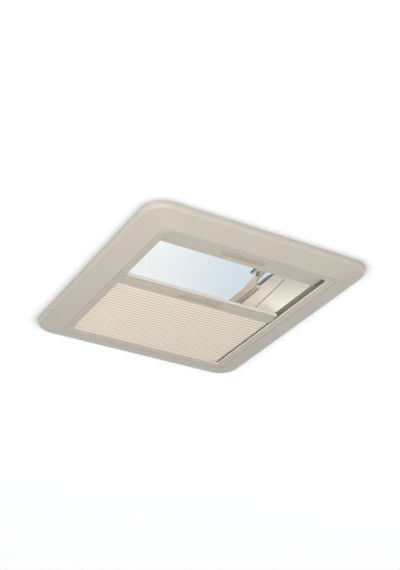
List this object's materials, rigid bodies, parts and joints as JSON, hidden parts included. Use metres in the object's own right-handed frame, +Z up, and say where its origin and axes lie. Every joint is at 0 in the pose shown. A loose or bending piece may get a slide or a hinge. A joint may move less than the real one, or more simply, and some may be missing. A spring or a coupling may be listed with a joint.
{
  "type": "rv skylight",
  "caption": "Hinged roof skylight for a camper: a double clear dome on a clamped frame, a light well, and an inner trim with a pleated blackout blind and an insect screen.",
  "frame": {"origin": "centre of the roof cut-out, on the roof's outer face", "axes": "+Z up, out of the roof; +Y the way the blinds travel, towards the dome's hinges; +X along the blinds' bars"},
  "size_m": [0.5, 0.552, 0.1775],
  "materials": {
    "cream_plastic": "fine satin, moulded",
    "cream_profile": "powder-coated satin aluminium",
    "well_plastic": "smooth satin",
    "pleated_cloth": "woven polyester, pleated",
    "screen_cloth": "fine open mesh, pleated",
    "clear_acrylic": "clear, polished",
    "beige_plastic": "fine satin",
    "grey_plastic": "fine satin",
    "black_plastic": "fine matt grain",
    "white_frame": "matt, moulded",
    "zinc_steel": "zinc-plated",
    "bright_steel": "bright rolled",
    "grey_metal": "matt powder coat",
    "rubber": "matt",
    "foam_seal": "matt, closed cell"
  },
  "bodies": {
    "root": {"outer_frame": "white_frame", "frame_shroud": "white_frame", "roof_seal": "foam_seal", "edge_seal": "rubber", "rail_right": "bright_steel", "rail_left": "bright_steel", "rail_brackets": "zinc_steel", "rail_screws": "zinc_steel", "hinge_bracket_right": "grey_metal", "hinge_bracket_left": "grey_metal", "hinge_pins": "zinc_steel", "clamp_claws": "zinc_steel", "clamp_screws": "zinc_steel", "light_well": "well_plastic", "blind_frame": "cream_plastic", "track_right": "cream_profile", "track_left": "cream_profile", "blackout_headrail": "cream_profile", "screen_headrail": "cream_profile", "inner_trim": "cream_plastic"},
    "dome": {"dome_inner_skin": "clear_acrylic", "dome_outer_skin": "clear_acrylic", "dome_edge_trim": "black_plastic", "hinge_leaf_right": "grey_metal", "hinge_leaf_left": "grey_metal", "dome_bracket_right": "bright_steel", "dome_bracket_left": "bright_steel", "bracket_pad_right": "black_plastic", "bracket_pad_left": "black_plastic", "stay_pivot_pins": "zinc_steel", "bow_pivot_pins": "grey_plastic"},
    "stay_right": {"stay_right": "bright_steel"},
    "stay_left": {"stay_left": "bright_steel"},
    "shoe_right": {"shoe_right": "black_plastic", "shoe_pin_right": "zinc_steel"},
    "shoe_left": {"shoe_left": "black_plastic", "shoe_pin_left": "zinc_steel"},
    "bow": {"bow_arm_right": "beige_plastic", "bow_arm_left": "beige_plastic", "bow_tube": "beige_plastic", "bow_grip": "grey_plastic"},
    "blackout": {"blackout_bar": "cream_profile", "blackout_pull": "cream_profile", "blackout_runners": "grey_plastic", "blackout_cloth": "pleated_cloth"},
    "screen": {"screen_bar": "cream_profile", "screen_pull": "cream_profile", "screen_runners": "grey_plastic", "screen_cloth": "screen_cloth"}
  },
  "joints": [
    {"name": "dome_hinge", "type": "hinge", "parent": "root", "child": "dome", "pos_m": [0, 0.222, 0.05], "axis": [-1, 0, 0], "range_deg": [0, 50]},
    {"name": "bow_swing", "type": "hinge", "parent": "dome", "child": "bow", "pos_m": [0, 0.0165, 0.0635], "axis": [-1, 0, 0], "range_deg": [0, 28]},
    {"name": "blackout_slide", "type": "slide", "parent": "root", "child": "blackout", "axis": [0, 1, 0], "range_m": [-0.135, 0.209], "deforming": ["blackout_cloth"]},
    {"name": "screen_slide", "type": "slide", "parent": "root", "child": "screen", "axis": [0, 1, 0], "range_m": [0, 0.385], "deforming": ["screen_cloth"]},
    {"name": "stay_right_pivot", "type": "hinge", "parent": "dome", "child": "stay_right", "pos_m": [0.1758, 0.024, 0.072], "axis": [1, 0, 0], "range_deg": [0, 100]},
    {"name": "shoe_right_pivot", "type": "hinge", "parent": "stay_right", "child": "shoe_right", "pos_m": [0.1845, -0.174, 0.05], "axis": [-1, 0, 0], "range_deg": [0, 50]},
    {"name": "stay_left_pivot", "type": "hinge", "parent": "dome", "child": "stay_left", "pos_m": [-0.1758, 0.024, 0.072], "axis": [1, 0, 0], "range_deg": [0, 100]},
    {"name": "shoe_left_pivot", "type": "hinge", "parent": "stay_left", "child": "shoe_left", "pos_m": [-0.1845, -0.174, 0.05], "axis": [-1, 0, 0], "range_deg": [0, 50]}
  ],
  "couplings": [
    {"joint": "stay_right_pivot", "follows": "dome_hinge", "ratio": 2},
    {"joint": "shoe_right_pivot", "follows": "dome_hinge", "ratio": 1},
    {"joint": "stay_left_pivot", "follows": "dome_hinge", "ratio": 2},
    {"joint": "shoe_left_pivot", "follows": "dome_hinge", "ratio": 1}
  ]
}
